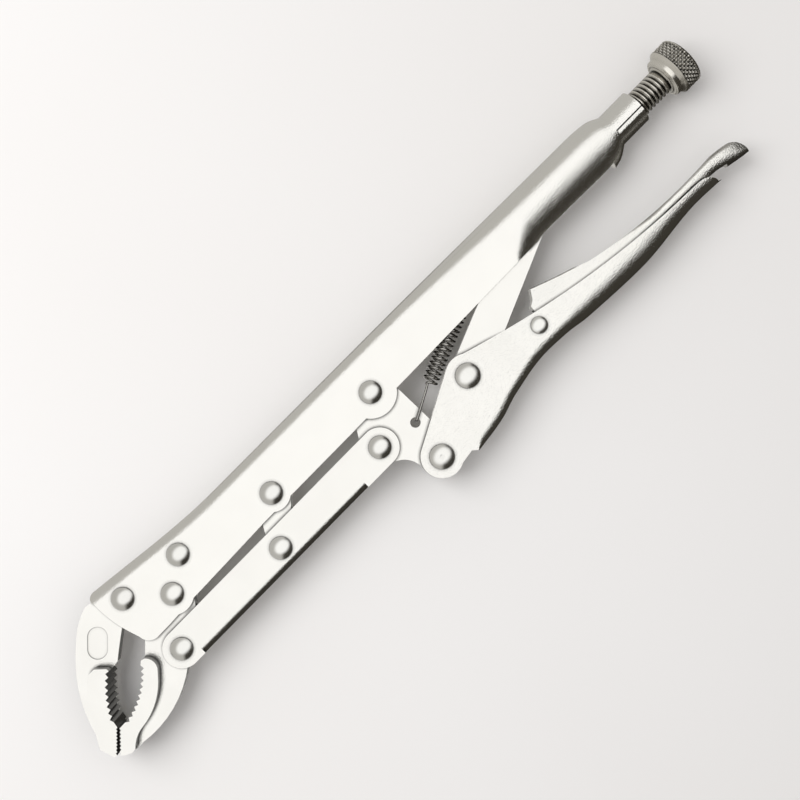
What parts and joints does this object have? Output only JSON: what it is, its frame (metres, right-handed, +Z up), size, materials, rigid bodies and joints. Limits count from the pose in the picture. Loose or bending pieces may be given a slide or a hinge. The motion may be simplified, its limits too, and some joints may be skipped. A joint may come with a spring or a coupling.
{
  "type": "locking pliers",
  "caption": "Long-reach locking pliers with curved toothed jaws, a parallel link bar, toggle-locking lever, release lever, return spring and adjusting screw.",
  "frame": {"origin": "centre of the bounding box in X and Y, on the surface that the pliers lie on", "axes": "+X from the jaws to the adjusting knob, +Y towards the closed back of the upper handle, +Z up; every pivot axis is parallel to Z"},
  "size_m": [0.3756, 0.0735, 0.0224],
  "materials": {
    "handle_nickel": "satin, bead-blasted nickel plate",
    "jaw_nickel": "satin nickel plate on forged steel",
    "bar_nickel": "satin nickel plate",
    "crank_nickel": "satin nickel plate",
    "link_nickel": "satin nickel plate",
    "lever_nickel": "satin nickel plate",
    "rivet_nickel": "polished nickel plate",
    "screw_nickel": "turned, nickel plated",
    "knob_nickel": "turned and knurled, nickel plated",
    "spring_steel": "dark oiled spring wire",
    "dark_steel": "plain dark steel"
  },
  "bodies": {
    "handle": {"upper_handle": "handle_nickel", "fixed_jaw": "jaw_nickel", "jaw_rivet_front": "rivet_nickel", "jaw_rivet_rear": "rivet_nickel", "pivot_rivet_jaw": "rivet_nickel", "pivot_rivet_rocker": "rivet_nickel", "pivot_rivet_crank": "rivet_nickel", "return_spring": "spring_steel", "spring_tab": "dark_steel"},
    "jaw": {"moving_jaw": "jaw_nickel"},
    "rocker": {"middle_rocker": "link_nickel"},
    "crank": {"bell_crank": "crank_nickel"},
    "bar": {"link_bar": "bar_nickel", "bar_rivet_jaw": "rivet_nickel", "bar_rivet_rocker": "rivet_nickel", "bar_rivet_crank": "rivet_nickel"},
    "lever": {"lever": "lever_nickel", "lever_rivet_crank": "rivet_nickel", "lever_rivet_toggle": "rivet_nickel", "lever_rivet_release": "rivet_nickel"},
    "toggle": {"toggle_link": "link_nickel"},
    "release": {"release_lever": "lever_nickel"},
    "screw_travel": {"thrust_pad": "dark_steel"},
    "screw": {"adjusting_screw": "screw_nickel", "screw_knob": "knob_nickel"}
  },
  "joints": [
    {"name": "crank_fold", "type": "hinge", "parent": "handle", "child": "crank", "pos_m": [-0.00395, 0.01245, 0.0112], "axis": [0, 0, 1], "range_deg": [0, 20], "deforming": ["return_spring"]},
    {"name": "jaw_pivot", "type": "hinge", "parent": "handle", "child": "jaw", "pos_m": [-0.12135, 0.01245, 0.0112], "axis": [0, 0, 1], "range_deg": [0, 20]},
    {"name": "rocker_pivot", "type": "hinge", "parent": "handle", "child": "rocker", "pos_m": [-0.06265, 0.01245, 0.0112], "axis": [0, 0, 1], "range_deg": [0, 20]},
    {"name": "bar_pivot", "type": "hinge", "parent": "crank", "child": "bar", "pos_m": [-0.01746, -0.00635, 0.0112], "axis": [0, 0, 1], "range_deg": [-20, 0]},
    {"name": "lever_pivot", "type": "hinge", "parent": "crank", "child": "lever", "pos_m": [-0.00215, -0.02755, 0.0112], "axis": [0, 0, 1], "range_deg": [-64, 0]},
    {"name": "toggle_pivot", "type": "hinge", "parent": "lever", "child": "toggle", "pos_m": [0.02935, -0.01155, 0.0112], "axis": [0, 0, 1], "range_deg": [0, 67]},
    {"name": "release_pivot", "type": "hinge", "parent": "lever", "child": "release", "pos_m": [0.06495, -0.01795, 0.0112], "axis": [0, 0, 1], "range_deg": [0, 4.5]},
    {"name": "screw_slide", "type": "slide", "parent": "handle", "child": "screw_travel", "axis": [1, 0, 0], "range_m": [0, 0.02]},
    {"name": "screw_turn", "type": "hinge", "parent": "screw_travel", "child": "screw", "pos_m": [0.17485, 0.01725, 0.0112], "axis": [1, 0, 0], "range_deg": [0, 3600.01]}
  ],
  "couplings": [
    {"joint": "jaw_pivot", "follows": "crank_fold", "ratio": 1},
    {"joint": "rocker_pivot", "follows": "crank_fold", "ratio": 1},
    {"joint": "bar_pivot", "follows": "crank_fold", "ratio": -1},
    {"joint": "lever_pivot", "follows": "crank_fold", "ratio": -3.2},
    {"joint": "toggle_pivot", "follows": "crank_fold", "ratio": 3.35},
    {"joint": "screw_turn", "follows": "screw_slide", "rad_per_m": 3141.6}
  ]
}
